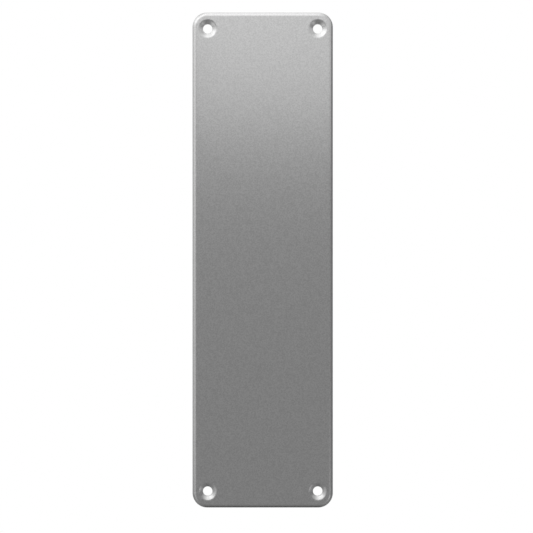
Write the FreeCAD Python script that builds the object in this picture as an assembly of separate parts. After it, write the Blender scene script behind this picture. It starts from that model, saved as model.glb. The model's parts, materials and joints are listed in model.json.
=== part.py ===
import FreeCAD, Part
import math
import os

# A pressed door finger plate: one sheet of metal with its rim turned down all round,
# a hollow back, and a dished screw hole near each corner.
# The frame is upright, as on a door: X across, Z up the length, the front towards -Y.
# The door's surface is the plane y = 0, and the origin is the middle of the four holes.

# outline of the plate, in millimetres
plate_width = 76.0
plate_length = 268.0
corner_radius = 8.0

# the sheet and its turned rim, whose straight skirt ends in the cut edge on the door
sheet = 1.5
bend_inside_radius = 0.9
skirt_height = 0.3
edge_break = 0.15

# the dished screw holes
hole_diameter = 5.2
dish_mouth_diameter = 10.5
dish_flank_angle = 27.0
dish_lip_inside_radius = 0.4

# flat land between the mouth of a dish and the start of the rim's bend
land_beside_dish = 0.6
land_beyond_dish = 1.35

# worked out from the sizes above
bend_outside_radius = bend_inside_radius + sheet
hollow_depth = skirt_height + bend_inside_radius
projection = hollow_depth + sheet
hole_radius = hole_diameter / 2
mouth_radius = dish_mouth_diameter / 2
flank = math.radians(dish_flank_angle)
dish_lip_outside_radius = dish_lip_inside_radius + sheet
lip_drop = dish_lip_outside_radius * (1 - math.cos(flank))
lip_run = dish_lip_outside_radius * math.sin(flank)
dish_depth = lip_drop + (mouth_radius - lip_run - hole_radius) * math.tan(flank)
hole_inset_across = bend_outside_radius + land_beside_dish + mouth_radius
hole_inset_along = bend_outside_radius + land_beyond_dish + mouth_radius
hole_x = plate_width / 2 - hole_inset_across
hole_z = plate_length / 2 - hole_inset_along
hole_centres = [(x, z) for x in (-hole_x, hole_x) for z in (-hole_z, hole_z)]


def rounded_slab(inset, depth, front_radius):
    """A slab with round corners, inset from the plate's outline, from the door out to depth."""
    half_x = plate_width / 2 - inset
    half_z = plate_length / 2 - inset
    slab = Part.makeBox(2 * half_x, depth, 2 * half_z, FreeCAD.Vector(-half_x, -depth, -half_z))
    upright = [edge for edge in slab.Edges if runs_along_y(edge)]
    slab = slab.makeFillet(corner_radius - inset, upright)
    front = [edge for edge in slab.Edges if lies_at(edge, -depth)]
    return slab.makeFillet(front_radius, front)


def runs_along_y(edge):
    """Whether an edge spans from the back of a solid to its front."""
    return edge.BoundBox.YLength > max(edge.BoundBox.XLength, edge.BoundBox.ZLength)


def lies_at(edge, y):
    """Whether a whole edge lies in the plane at y."""
    box = edge.BoundBox
    return abs(box.YMin - y) < 1e-6 and abs(box.YMax - y) < 1e-6


def tray():
    """The face and its turned rim, before the dishes are pressed."""
    outside = rounded_slab(0, projection, bend_outside_radius)
    skirt_edge = [edge for edge in outside.Edges if lies_at(edge, 0)]
    outside = outside.makeChamfer(edge_break, skirt_edge)
    hollow = rounded_slab(sheet, hollow_depth, bend_inside_radius)
    return outside.cut(hollow)


def dish_section():
    """Half of a dish's section in the XY plane: sheet of one thickness, from its hole to its mouth."""
    lip_back = dish_lip_inside_radius
    lip_front = dish_lip_outside_radius
    lip_centre = FreeCAD.Vector(mouth_radius, -projection + lip_front, 0)

    def lip(radius, turn):
        return lip_centre - FreeCAD.Vector(radius * math.sin(turn), radius * math.cos(turn), 0)

    def down_flank(start):
        run = start.x - hole_radius
        return start + FreeCAD.Vector(-run, run * math.tan(flank), 0)

    front_end = down_flank(lip(lip_front, flank))
    back_end = down_flank(lip(lip_back, flank))
    edges = [
        Part.makeLine(front_end, lip(lip_front, flank)),
        Part.Arc(lip(lip_front, flank), lip(lip_front, flank / 2), lip(lip_front, 0)).toShape(),
        Part.makeLine(lip(lip_front, 0), lip(lip_back, 0)),
        Part.Arc(lip(lip_back, 0), lip(lip_back, flank / 2), lip(lip_back, flank)).toShape(),
        Part.makeLine(lip(lip_back, flank), back_end),
        Part.makeLine(back_end, front_end),
    ]
    return Part.Face(Part.Wire(edges))


def round_bar(radius, centre, back, front):
    """A round bar along Y at a hole's centre, between two planes."""
    x, z = centre
    return Part.makeCylinder(radius, back - front, FreeCAD.Vector(x, front, z), FreeCAD.Vector(0, 1, 0))


def dish():
    """One pressed dish on the Y axis with its screw hole, its foot faced flat on the door's plane."""
    pressed = dish_section().revolve(FreeCAD.Vector(0, 0, 0), FreeCAD.Vector(0, 1, 0), 360)
    return pressed.cut(round_bar(mouth_radius, (0, 0), projection, 0))


def press_dish(plate, blank, centre):
    """Takes the flat sheet out of a dish's mouth and puts the dish in its place."""
    x, z = centre
    opened = plate.cut(round_bar(mouth_radius, centre, -hollow_depth, -projection))
    return opened.fuse(blank.translated(FreeCAD.Vector(x, 0, z)))


def is_hole_front(edge):
    """Whether an edge is the circle where a screw hole opens into its dish."""
    if not isinstance(edge.Curve, Part.Circle):
        return False
    same_radius = abs(edge.Curve.Radius - hole_radius) < 1e-6
    return same_radius and lies_at(edge, dish_depth - projection)


def finger_plate():
    """The whole plate as one solid."""
    plate = tray()
    blank = dish()
    for centre in hole_centres:
        plate = press_dish(plate, blank, centre)
    plate = plate.removeSplitter()
    return plate.makeChamfer(edge_break, [edge for edge in plate.Edges if is_hole_front(edge)])


os.makedirs("parts", exist_ok=True)
finger_plate().exportStep("parts/finger_plate.step")
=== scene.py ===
import json
import math

import bmesh
import bpy
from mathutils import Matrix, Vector


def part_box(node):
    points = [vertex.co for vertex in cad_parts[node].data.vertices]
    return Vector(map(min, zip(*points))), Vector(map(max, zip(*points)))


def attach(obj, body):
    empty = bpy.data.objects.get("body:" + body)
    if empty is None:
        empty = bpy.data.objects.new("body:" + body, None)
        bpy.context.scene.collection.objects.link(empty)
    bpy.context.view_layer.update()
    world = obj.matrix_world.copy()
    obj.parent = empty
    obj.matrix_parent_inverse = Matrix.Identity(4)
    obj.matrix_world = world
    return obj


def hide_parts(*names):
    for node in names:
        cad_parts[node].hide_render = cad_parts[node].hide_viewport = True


# The looks of a pressed door finger plate in satin metal, on a plain studio set.
# The frame is the CAD model's: metres, X across, Z up the length, front towards -Y,
# and the door's surface at y = 0.

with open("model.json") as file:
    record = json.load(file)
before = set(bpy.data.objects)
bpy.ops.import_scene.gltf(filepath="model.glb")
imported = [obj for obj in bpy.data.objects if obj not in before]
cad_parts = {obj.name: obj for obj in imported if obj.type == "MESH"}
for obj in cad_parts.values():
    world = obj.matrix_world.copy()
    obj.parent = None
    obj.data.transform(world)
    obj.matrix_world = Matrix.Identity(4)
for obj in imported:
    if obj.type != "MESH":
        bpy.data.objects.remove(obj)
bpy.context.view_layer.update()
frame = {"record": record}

MM = 0.001

# the pressed sheet and its turned rim
SHEET = 1.5 * MM
CORNER_RADIUS = 8.0 * MM
BEND_INSIDE = 0.9 * MM
BEND_OUTSIDE = BEND_INSIDE + SHEET
EDGE_BREAK = 0.15 * MM

# the dish round each screw hole
MOUTH_RADIUS = 5.25 * MM
FLANK_ANGLE = math.radians(27.0)
LIP_INSIDE = 0.4 * MM
LIP_OUTSIDE = LIP_INSIDE + SHEET

# a little flat sheet past a dish's mouth, and the margin of the field that a dish is joined into
MOUTH_LAND = 0.05 * MM
FIELD_MARGIN = 0.7 * MM

# points nearer than this to a plane, a ring or each other count as touching
TOUCHING = 1e-7

# how finely the curves are divided, and each half of the flats across and along
CORNER_STEPS = 24
BEND_STEPS = 14
DISH_STEPS = 96
LIP_STEPS = 12
BREAK_STEPS = 3
WIDTH_STEPS = 2
LENGTH_STEPS = 8

# the plate's sizes, from the CAD solid
low, high = [Vector(corner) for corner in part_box("finger_plate")]
HALF_WIDTH = (high.x - low.x) / 2
HALF_LENGTH = (high.z - low.z) / 2
PROJECTION = high.y - low.y
HOLLOW_DEPTH = PROJECTION - SHEET

# the screw holes, from the record's mounts
mounts = {mount["name"]: mount for mount in frame["record"]["mounts"]}
hole_names = sorted(name for name in mounts if name.startswith("screw_hole_"))
HOLES = [(mounts[name]["pos_m"][0], mounts[name]["pos_m"][2]) for name in hole_names]
HOLE_RADIUS = mounts[hole_names[0]]["dims"]["r_mm"] * MM

# the places of the three finishes in the plate's list of materials
FACE = 0
BACK = 1
RAW_EDGE = 2

# each finish, in that order: the darkest and palest tone of its grain, how rough it is,
# how many grains there are to a metre and how deep they are
FINISHES = [
    {
        "name": "satin anodised face",
        "dark": 0.560,
        "pale": 0.680,
        "roughness": 0.307,
        "per_metre": 1700.0,
        "depth": 0.006 * MM,
    },
    {
        "name": "plain anodised back",
        "dark": 0.54,
        "pale": 0.62,
        "roughness": 0.34,
        "per_metre": 900.0,
        "depth": 0.01 * MM,
    },
    {
        "name": "cut edge of the sheet",
        "dark": 0.48,
        "pale": 0.60,
        "roughness": 0.38,
        "per_metre": 2500.0,
        "depth": 0.02 * MM,
    },
]

# by what share the roughness varies from grain to grain, and how much of the relief shows
GLOSS_SPREAD = 0.08
RELIEF = 0.2

# the camera, as far off as a catalogue photograph is taken from
CAMERA_DISTANCE = 0.802
LENS = 100.0
SENSOR = 36.0
PICTURE_PIXELS = 533.0
RIGHT_SHIFT_PIXELS = 3.8
UP_SHIFT_PIXELS = -6.5

# the grey card surround: its own tone, and what is added to it between two places on it,
# along x to the right, y away from the camera or z up, where its radius counts as 1
SURROUND_RADIUS = 1.6
GREY = 0.311
OFF_AXIS = {"start": -0.97, "end": -0.82, "amount": -0.023}
TO_THE_RIGHT = {"start": 0.832, "end": 0.982, "amount": -0.067}
TO_THE_LEFT = {"start": -0.268, "end": -0.566, "amount": 0.035}
LOW_DOWN = {"start": -0.877, "end": -1.03, "amount": -0.238}
HIGH_UP = {"start": 0.05, "end": 0.6, "amount": 0.488}

# high up the surround is paler only on the left of a line, which leans this far right for each 1 up
HIGH_LEAN = 0.45
HIGH_LEFT = {"start": 0.094, "end": -0.206, "amount": 1.0}

# behind the plate the surround is white, as the backdrop is
BEHIND = {"start": 0.8, "end": 0.97, "amount": 1.0}

# round pale cards on the surround, each with the angle of its middle from straight in front,
# how steeply it lies above level on its side (-1 left, 1 right), the angles from its middle
# at which it fades in and is full, and the tone that it adds
CARDS = [
    {"aside": 68.8, "above": 49.7, "side": -1, "edge": 47.4, "full": 38.6, "tone": 0.274},
    {"aside": 47.4, "above": -36.0, "side": 1, "edge": 16.0, "full": 0.0, "tone": 0.605},
    {"aside": 54.6, "above": 48.0, "side": -1, "edge": 23.9, "full": 10.9, "tone": 0.420},
    {"aside": 50.0, "above": -30.3, "side": -1, "edge": 19.3, "full": 10.0, "tone": 0.304},
]

# the two softboxes, in metres, and how bright each looks
OVERHEAD = {
    "place": (0.205, 0.308, 0.539),
    "target": (0.183, 0.891, -0.273),
    "size": (0.620, 1.506),
    "radiance": 0.470,
}
SIDE = {
    "place": (-0.364, -0.066, 0.145),
    "target": (0.019, 0.020, 0.009),
    "size": (0.803, 0.711),
    "radiance": 0.298,
}

# the floor, and from where to where it fades out
FLOOR_LEVEL = -0.36
FLOOR_RADIUS = 1.4
FLOOR_TONE = 0.8
FLOOR_FADE = {"start": 0.5, "end": 1.05, "amount": 1.0}


# shape


def lies_at(edge, y):
    """Whether an edge lies in the plane at y."""
    return all(abs(vert.co.y - y) < TOUCHING for vert in edge.verts)


def runs_along_y(edge):
    """Whether an edge runs from the back to the front."""
    along = edge.verts[1].co - edge.verts[0].co
    return abs(along.y) > 0.99 * along.length


def on_ring(edge, radius):
    """Whether both ends of an edge are at a radius from the Y axis."""
    return all(abs(math.hypot(vert.co.x, vert.co.z) - radius) < TOUCHING for vert in edge.verts)


def round_edges(bm, edges, offset, steps):
    """Rounds edges with an arc."""
    bmesh.ops.bevel(
        bm,
        geom=edges,
        offset=offset,
        offset_type="OFFSET",
        segments=steps,
        profile=0.5,
        affect="EDGES",
        material=-1,
    )


def give_finish(faces, finish):
    """Gives faces one of the three finishes."""
    for face in faces:
        face.material_index = finish


def rounded_slab(inset, depth, front_radius):
    """A closed slab with round corners, from the door's plane out to depth."""
    bm = bmesh.new()
    bmesh.ops.create_cube(bm, size=1)
    size = Vector((2 * (HALF_WIDTH - inset), depth, 2 * (HALF_LENGTH - inset)))
    bmesh.ops.scale(bm, vec=size, verts=bm.verts)
    bmesh.ops.translate(bm, vec=(0, -depth / 2, 0), verts=bm.verts)
    upright = [edge for edge in bm.edges if runs_along_y(edge)]
    round_edges(bm, upright, CORNER_RADIUS - inset, CORNER_STEPS)
    front = [edge for edge in bm.edges if lies_at(edge, -depth)]
    round_edges(bm, front, front_radius, BEND_STEPS)
    return bm


def cut_through(bm, point, normal):
    """Cuts every face along a plane and keeps both sides."""
    bmesh.ops.bisect_plane(
        bm,
        geom=bm.verts[:] + bm.edges[:] + bm.faces[:],
        dist=TOUCHING,
        plane_co=point,
        plane_no=normal,
    )


def divide(bm):
    """Cuts a shell into regular lengths, with one field of its own round each dish."""
    hole_x, hole_z = HOLES[0]
    reach = MOUTH_RADIUS + FIELD_MARGIN
    field_x = abs(hole_x) - reach
    field_z = abs(hole_z) - reach
    for step in range(WIDTH_STEPS + 1):
        across = step / WIDTH_STEPS * field_x
        cut_through(bm, (across, 0, 0), (1, 0, 0))
        cut_through(bm, (-across, 0, 0), (1, 0, 0))
    for step in range(LENGTH_STEPS + 1):
        along = step / LENGTH_STEPS * field_z
        cut_through(bm, (0, 0, along), (0, 0, 1))
        cut_through(bm, (0, 0, -along), (0, 0, 1))


def take_in(bm, other):
    """Moves another bmesh's shape into this one."""
    carrier = bpy.data.meshes.new("carrier")
    other.to_mesh(carrier)
    other.free()
    bm.from_mesh(carrier)
    bpy.data.meshes.remove(carrier)


def open_back(bm):
    """Takes away the faces in the door's plane."""
    back = [face for face in bm.faces if all(lies_at(edge, 0) for edge in face.edges)]
    bmesh.ops.delete(bm, geom=back, context="FACES_ONLY")


def tray():
    """The face with its turned rim: sheet of one thickness, with its cut edge on the door."""
    bm = rounded_slab(0, PROJECTION, BEND_OUTSIDE)
    skirt_edge = [edge for edge in bm.edges if lies_at(edge, 0)]
    round_edges(bm, skirt_edge, EDGE_BREAK, BREAK_STEPS)
    open_back(bm)
    divide(bm)
    give_finish(bm.faces, FACE)
    hollow = rounded_slab(SHEET, HOLLOW_DEPTH, BEND_INSIDE)
    open_back(hollow)
    divide(hollow)
    bmesh.ops.reverse_faces(hollow, faces=hollow.faces)
    give_finish(hollow.faces, BACK)
    take_in(bm, hollow)
    rims = [edge for edge in bm.edges if lies_at(edge, 0) and edge.is_boundary]
    cut_edge = bmesh.ops.bridge_loops(bm, edges=rims)
    give_finish(cut_edge["faces"], RAW_EDGE)
    return bm


def dish(centre):
    """One dish at its hole: a section of straight sheet spun round, then bent by rounding."""
    slope = math.tan(FLANK_ANGLE)
    half_turn = math.tan(FLANK_ANGLE / 2)
    front_corner = MOUTH_RADIUS - LIP_OUTSIDE * half_turn
    back_corner = MOUTH_RADIUS - LIP_INSIDE * half_turn
    hole_front = (front_corner - HOLE_RADIUS) * slope - PROJECTION
    foot_radius = back_corner - HOLLOW_DEPTH / slope
    # the flat land past the mouth gives the rounding room
    land = MOUTH_RADIUS + MOUTH_LAND
    section = [
        (land, -PROJECTION),
        (front_corner, -PROJECTION),
        (HOLE_RADIUS, hole_front),
        (HOLE_RADIUS, 0),
        (foot_radius, 0),
        (back_corner, -HOLLOW_DEPTH),
        (land, -HOLLOW_DEPTH),
    ]
    bm = bmesh.new()
    points = [bm.verts.new((radius, y, 0)) for radius, y in section]
    for start, end in zip(points, points[1:]):
        bm.edges.new((start, end))
    bmesh.ops.spin(
        bm,
        geom=bm.verts[:] + bm.edges[:],
        cent=(0, 0, 0),
        axis=(0, 1, 0),
        angle=math.tau,
        steps=DISH_STEPS,
        use_merge=True,
        use_duplicate=False,
    )
    for face in bm.faces:
        nearest = min(vert.co.y for vert in face.verts)
        widest = max(math.hypot(vert.co.x, vert.co.z) for vert in face.verts)
        if nearest < -HOLLOW_DEPTH - SHEET / 2:
            face.material_index = FACE
        elif widest > foot_radius + EDGE_BREAK:
            face.material_index = BACK
        else:
            face.material_index = RAW_EDGE
    rounding = [
        (front_corner, -PROJECTION, LIP_OUTSIDE * half_turn, LIP_STEPS),
        (HOLE_RADIUS, hole_front, EDGE_BREAK, BREAK_STEPS),
        (back_corner, -HOLLOW_DEPTH, LIP_INSIDE * half_turn, LIP_STEPS),
    ]
    for radius, y, offset, steps in rounding:
        ring = [edge for edge in bm.edges if lies_at(edge, y) and on_ring(edge, radius)]
        round_edges(bm, ring, offset, steps)
    x, z = centre
    bmesh.ops.translate(bm, vec=(x, 0, z), verts=bm.verts)
    return bm


def nearest_flat(bm, y, centre):
    """The flat face in the plane at y whose middle is nearest to a hole."""
    here = Vector((centre[0], y, centre[1]))
    flats = [face for face in bm.faces if all(lies_at(edge, y) for edge in face.edges)]
    return min(flats, key=lambda face: (face.calc_center_median() - here).length)


def press_dish(bm, centre):
    """Opens the flat sheet at a hole, front and back, and joins a dish in."""
    fields = [nearest_flat(bm, y, centre) for y in (-PROJECTION, -HOLLOW_DEPTH)]
    bmesh.ops.delete(bm, geom=fields, context="FACES_ONLY")
    take_in(bm, dish(centre))
    for y, finish in ((-PROJECTION, FACE), (-HOLLOW_DEPTH, BACK)):
        gap = [edge for edge in bm.edges if lies_at(edge, y) and edge.is_boundary]
        filled = bmesh.ops.triangle_fill(
            bm,
            use_beauty=True,
            use_dissolve=False,
            edges=gap,
            normal=(0, -1, 0),
        )
        give_finish([part for part in filled["geom"] if isinstance(part, bmesh.types.BMFace)], finish)


def finger_plate():
    """The whole plate as one closed shell."""
    bm = tray()
    for centre in HOLES:
        press_dish(bm, centre)
    bmesh.ops.remove_doubles(bm, verts=bm.verts, dist=TOUCHING)
    bmesh.ops.recalc_face_normals(bm, faces=bm.faces)
    for face in bm.faces:
        face.smooth = True
    mesh = bpy.data.meshes.new("pressed_plate")
    bm.to_mesh(mesh)
    bm.free()
    plate = bpy.data.objects.new("pressed_plate", mesh)
    bpy.context.scene.collection.objects.link(plate)
    even = plate.modifiers.new("even_flats", "WEIGHTED_NORMAL")
    even.mode = "FACE_AREA"
    return plate


# finish


def add_node(tree, kind, place, **inputs):
    """Adds a shader node and sets its named inputs."""
    node = tree.nodes.new(kind)
    node.location = place
    for name, value in inputs.items():
        node.inputs[name.replace("_", " ")].default_value = value
    return node


def grey(tone):
    """A plain grey of that tone, as a colour."""
    return (tone, tone, tone, 1)


def satin_grain():
    """A node group: the fine even grain of blasted metal, as a tone and a height."""
    group = bpy.data.node_groups.new("satin grain", "ShaderNodeTree")
    sockets = group.interface
    sockets.new_socket("Grain per metre", in_out="INPUT", socket_type="NodeSocketFloat")
    sockets.new_socket("Dark", in_out="INPUT", socket_type="NodeSocketColor")
    sockets.new_socket("Pale", in_out="INPUT", socket_type="NodeSocketColor")
    sockets.new_socket("Colour", in_out="OUTPUT", socket_type="NodeSocketColor")
    sockets.new_socket("Height", in_out="OUTPUT", socket_type="NodeSocketFloat")
    given = group.nodes.new("NodeGroupInput")
    given.location = (-900, 0)
    result = group.nodes.new("NodeGroupOutput")
    result.location = (500, 0)
    place = add_node(group, "ShaderNodeTexCoord", (-900, 250))
    speck = add_node(group, "ShaderNodeTexNoise", (-600, 150), Detail=1.0, Roughness=0.75)
    contrast = add_node(group, "ShaderNodeMapRange", (-300, 150), From_Min=0.35, From_Max=0.65)
    tone = add_node(group, "ShaderNodeMix", (150, 100))
    tone.data_type = "RGBA"
    link = group.links.new
    link(place.outputs["Object"], speck.inputs["Vector"])
    link(given.outputs["Grain per metre"], speck.inputs["Scale"])
    link(speck.outputs["Fac"], contrast.inputs["Value"])
    link(contrast.outputs["Result"], tone.inputs["Factor"])
    link(given.outputs["Dark"], tone.inputs["A"])
    link(given.outputs["Pale"], tone.inputs["B"])
    link(tone.outputs["Result"], result.inputs["Colour"])
    link(contrast.outputs["Result"], result.inputs["Height"])
    return group


def metal(grain, name, dark, pale, roughness, per_metre, depth):
    """Anodised sheet with the grain group on its colour, roughness and surface."""
    material = bpy.data.materials.new(name)
    material.use_nodes = True
    tree = material.node_tree
    tree.nodes.clear()
    out = add_node(tree, "ShaderNodeOutputMaterial", (600, 0))
    skin = add_node(tree, "ShaderNodeBsdfPrincipled", (300, 0), Metallic=1.0)
    texture = tree.nodes.new("ShaderNodeGroup")
    texture.location = (-400, 0)
    texture.node_tree = grain
    texture.inputs["Grain per metre"].default_value = per_metre
    texture.inputs["Dark"].default_value = grey(dark)
    texture.inputs["Pale"].default_value = grey(pale)
    gloss = add_node(tree, "ShaderNodeMapRange", (-100, -150))
    gloss.inputs["To Min"].default_value = roughness * (1 - GLOSS_SPREAD)
    gloss.inputs["To Max"].default_value = roughness * (1 + GLOSS_SPREAD)
    relief = add_node(tree, "ShaderNodeBump", (-100, -400), Strength=RELIEF, Distance=depth)
    link = tree.links.new
    link(texture.outputs["Colour"], skin.inputs["Base Color"])
    link(texture.outputs["Height"], gloss.inputs["Value"])
    link(gloss.outputs["Result"], skin.inputs["Roughness"])
    link(texture.outputs["Height"], relief.inputs["Height"])
    link(relief.outputs["Normal"], skin.inputs["Normal"])
    link(skin.outputs["BSDF"], out.inputs["Surface"])
    return material


def finish(plate):
    """The three finishes: the satin face, the plainer back and the cut edge of the sheet."""
    grain = satin_grain()
    for values in FINISHES:
        plate.data.materials.append(metal(grain, **values))


# studio


def camera():
    """The camera straight in front of the plate, framed as the photograph is."""
    data = bpy.data.cameras.new("camera")
    data.lens = LENS
    data.sensor_width = SENSOR
    data.shift_x = RIGHT_SHIFT_PIXELS / PICTURE_PIXELS
    data.shift_y = UP_SHIFT_PIXELS / PICTURE_PIXELS
    data.clip_start = 0.01
    data.clip_end = 20.0
    eye = bpy.data.objects.new("camera", data)
    eye.location = (0, -CAMERA_DISTANCE, 0)
    eye.rotation_euler = (math.radians(90), 0, 0)
    bpy.context.scene.collection.objects.link(eye)
    bpy.context.scene.camera = eye


def softbox(name, place, target, size, radiance):
    """An area lamp of that size in metres, which looks as bright as radiance."""
    data = bpy.data.lights.new(name, "AREA")
    data.shape = "RECTANGLE"
    data.size = size[0]
    data.size_y = size[1]
    data.energy = radiance * math.pi * size[0] * size[1]
    lamp = bpy.data.objects.new(name, data)
    lamp.location = place
    lamp.rotation_mode = "QUATERNION"
    lamp.rotation_quaternion = (Vector(target) - Vector(place)).to_track_quat("-Z", "Y")
    bpy.context.scene.collection.objects.link(lamp)


def ramp(tree, value, place, start, end, amount):
    """A smooth step of a value, from nothing at start to amount at end."""
    step = add_node(tree, "ShaderNodeMapRange", place)
    step.interpolation_type = "SMOOTHSTEP"
    step.inputs["From Min"].default_value = start
    step.inputs["From Max"].default_value = end
    step.inputs["To Min"].default_value = 0.0
    step.inputs["To Max"].default_value = amount
    tree.links.new(value, step.inputs["Value"])
    return step.outputs["Result"]


def math_node(tree, operation, first, second, place):
    """The result of an operation on two values, each a number or a socket."""
    node = add_node(tree, "ShaderNodeMath", place)
    node.operation = operation
    for socket, value in zip(node.inputs, (first, second)):
        if isinstance(value, float):
            socket.default_value = value
        else:
            tree.links.new(value, socket)
    return node.outputs["Value"]


def studio_shell():
    """The sphere that carries the surround, seen from inside by the metal only."""
    bm = bmesh.new()
    bmesh.ops.create_uvsphere(bm, u_segments=64, v_segments=32, radius=SURROUND_RADIUS)
    bmesh.ops.reverse_faces(bm, faces=bm.faces)
    mesh = bpy.data.meshes.new("studio_surround")
    bm.to_mesh(mesh)
    bm.free()
    shell = bpy.data.objects.new("studio_surround", mesh)
    shell.visible_camera = False
    bpy.context.scene.collection.objects.link(shell)
    return shell


def pale_card(tree, way, card, place):
    """What one pale card adds, at its full tone in its middle and faded out at its edge."""
    aside = math.radians(card["aside"])
    above = math.radians(card["above"])
    across = card["side"] * math.sin(aside) * math.cos(above)
    towards = add_node(tree, "ShaderNodeVectorMath", place)
    towards.operation = "DOT_PRODUCT"
    towards.inputs[1].default_value = (across, -math.cos(aside), math.sin(aside) * math.sin(above))
    tree.links.new(way, towards.inputs[0])
    edge = math.cos(math.radians(card["edge"]))
    full = math.cos(math.radians(card["full"]))
    return ramp(tree, towards.outputs["Value"], (place[0] + 200, place[1]), edge, full, card["tone"])


def surround():
    """Grey card all round, with its paler and darker sides, its pale cards, and white behind."""
    shell = studio_shell()
    material = bpy.data.materials.new("grey card")
    material.use_nodes = True
    tree = material.node_tree
    tree.nodes.clear()
    out = add_node(tree, "ShaderNodeOutputMaterial", (1200, 0))
    glow = add_node(tree, "ShaderNodeEmission", (1000, 0), Strength=1.0)
    place = add_node(tree, "ShaderNodeTexCoord", (-800, 0))
    unit = add_node(tree, "ShaderNodeVectorMath", (-600, 0))
    unit.operation = "NORMALIZE"
    way = add_node(tree, "ShaderNodeSeparateXYZ", (-400, 0))
    tree.links.new(place.outputs["Object"], unit.inputs[0])
    tree.links.new(unit.outputs["Vector"], way.inputs["Vector"])
    x, y, z = way.outputs["X"], way.outputs["Y"], way.outputs["Z"]
    parts = [
        ramp(tree, y, (-100, 600), **OFF_AXIS),
        ramp(tree, x, (-100, 300), **TO_THE_RIGHT),
        ramp(tree, x, (-100, 0), **TO_THE_LEFT),
        ramp(tree, z, (-100, -300), **LOW_DOWN),
    ]
    above = ramp(tree, z, (-100, -600), **HIGH_UP)
    lean = math_node(tree, "MULTIPLY", z, -HIGH_LEAN, (-300, -900))
    lean = math_node(tree, "ADD", x, lean, (-200, -900))
    kept = ramp(tree, lean, (-100, -900), **HIGH_LEFT)
    parts.append(math_node(tree, "MULTIPLY", above, kept, (50, -700)))
    for number, card in enumerate(CARDS):
        parts.append(pale_card(tree, unit.outputs["Vector"], card, (-300, -1200 - 300 * number)))
    total = GREY
    for number, part in enumerate(parts):
        total = math_node(tree, "ADD", total, part, (200 + 60 * number, 300))
    behind = ramp(tree, y, (500, -500), **BEHIND)
    white = add_node(tree, "ShaderNodeMix", (850, 0), B=1.0)
    tree.links.new(behind, white.inputs["Factor"])
    tree.links.new(total, white.inputs["A"])
    tree.links.new(white.outputs["Result"], glow.inputs["Color"])
    tree.links.new(glow.outputs["Emission"], out.inputs["Surface"])
    shell.data.materials.append(material)


def floor():
    """A plain pale floor well below the plate, which fades out at its edge."""
    bm = bmesh.new()
    bmesh.ops.create_circle(bm, cap_ends=True, radius=FLOOR_RADIUS, segments=96)
    bmesh.ops.translate(bm, vec=(0, 0, FLOOR_LEVEL), verts=bm.verts)
    mesh = bpy.data.meshes.new("floor")
    bm.to_mesh(mesh)
    bm.free()
    ground = bpy.data.objects.new("floor", mesh)
    ground.visible_glossy = False
    bpy.context.scene.collection.objects.link(ground)
    material = bpy.data.materials.new("pale floor")
    material.use_nodes = True
    tree = material.node_tree
    tree.nodes.clear()
    out = add_node(tree, "ShaderNodeOutputMaterial", (600, 0))
    paint = add_node(tree, "ShaderNodeBsdfDiffuse", (200, 100), Color=grey(FLOOR_TONE))
    clear = add_node(tree, "ShaderNodeBsdfTransparent", (200, -100))
    mix = add_node(tree, "ShaderNodeMixShader", (400, 0))
    place = add_node(tree, "ShaderNodeTexCoord", (-600, 0))
    flat = add_node(tree, "ShaderNodeVectorMath", (-400, 0))
    flat.operation = "MULTIPLY"
    flat.inputs[1].default_value = (1, 1, 0)
    reach = add_node(tree, "ShaderNodeVectorMath", (-200, 0))
    reach.operation = "LENGTH"
    tree.links.new(place.outputs["Object"], flat.inputs[0])
    tree.links.new(flat.outputs["Vector"], reach.inputs[0])
    fade = ramp(tree, reach.outputs["Value"], (0, 0), **FLOOR_FADE)
    tree.links.new(fade, mix.inputs["Fac"])
    tree.links.new(paint.outputs["BSDF"], mix.inputs[1])
    tree.links.new(clear.outputs["BSDF"], mix.inputs[2])
    tree.links.new(mix.outputs["Shader"], out.inputs["Surface"])
    mesh.materials.append(material)


def backdrop():
    """A plain white backdrop all round."""
    sky = bpy.data.worlds.new("white backdrop")
    sky.use_nodes = True
    sky.node_tree.nodes["Background"].inputs["Color"].default_value = (1, 1, 1, 1)
    sky.node_tree.nodes["Background"].inputs["Strength"].default_value = 1.0
    bpy.context.scene.world = sky


plate = finger_plate()
finish(plate)
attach(plate, "root")
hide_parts("finger_plate")

backdrop()
surround()
floor()
softbox("overhead_softbox", **OVERHEAD)
softbox("side_softbox", **SIDE)
camera()
bpy.context.scene.view_settings.view_transform = "Standard"
